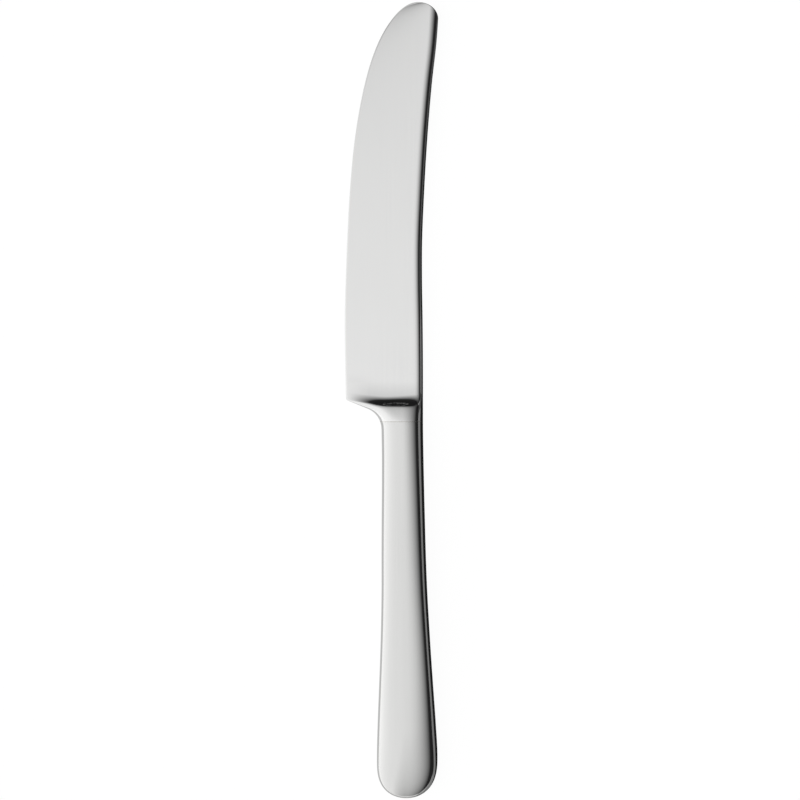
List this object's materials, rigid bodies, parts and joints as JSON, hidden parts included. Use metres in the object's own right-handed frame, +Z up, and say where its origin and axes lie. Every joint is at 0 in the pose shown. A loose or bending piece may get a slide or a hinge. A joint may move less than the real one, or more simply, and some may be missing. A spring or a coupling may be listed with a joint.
{
  "type": "table knife",
  "caption": "Table knife with a round-tipped blade, a forged bolster and a slender hollow handle that widens to a rounded butt, all in satin stainless steel.",
  "frame": {"origin": "on the flat of the handle's underside, 52 mm behind the joint between bolster and handle, midway between the neck's and the butt's middle lines", "axes": "+Y along the knife towards the tip, +X towards the spine, -X towards the cutting edge, +Z up from the surface that the knife lies on"},
  "size_m": [0.027, 0.23, 0.0078],
  "materials": {
    "blade_steel": "hardened 13% chromium stainless steel, glazed to a fine satin with lines along the blade",
    "handle_steel": "18/10 stainless steel, polished and mopped to a fine satin with lines along the handle",
    "silver_braze": "silver braze, dressed flush and polished with the steel",
    "resin_cement": "sand-filled resin cement, set inside the handle and out of sight"
  },
  "bodies": {
    "root": {"blade": "blade_steel", "upper_handle_shell": "handle_steel", "lower_handle_shell": "handle_steel", "shell_seam_braze": "silver_braze", "bolster_braze": "silver_braze", "tang_cement": "resin_cement"}
  },
  "joints": []
}
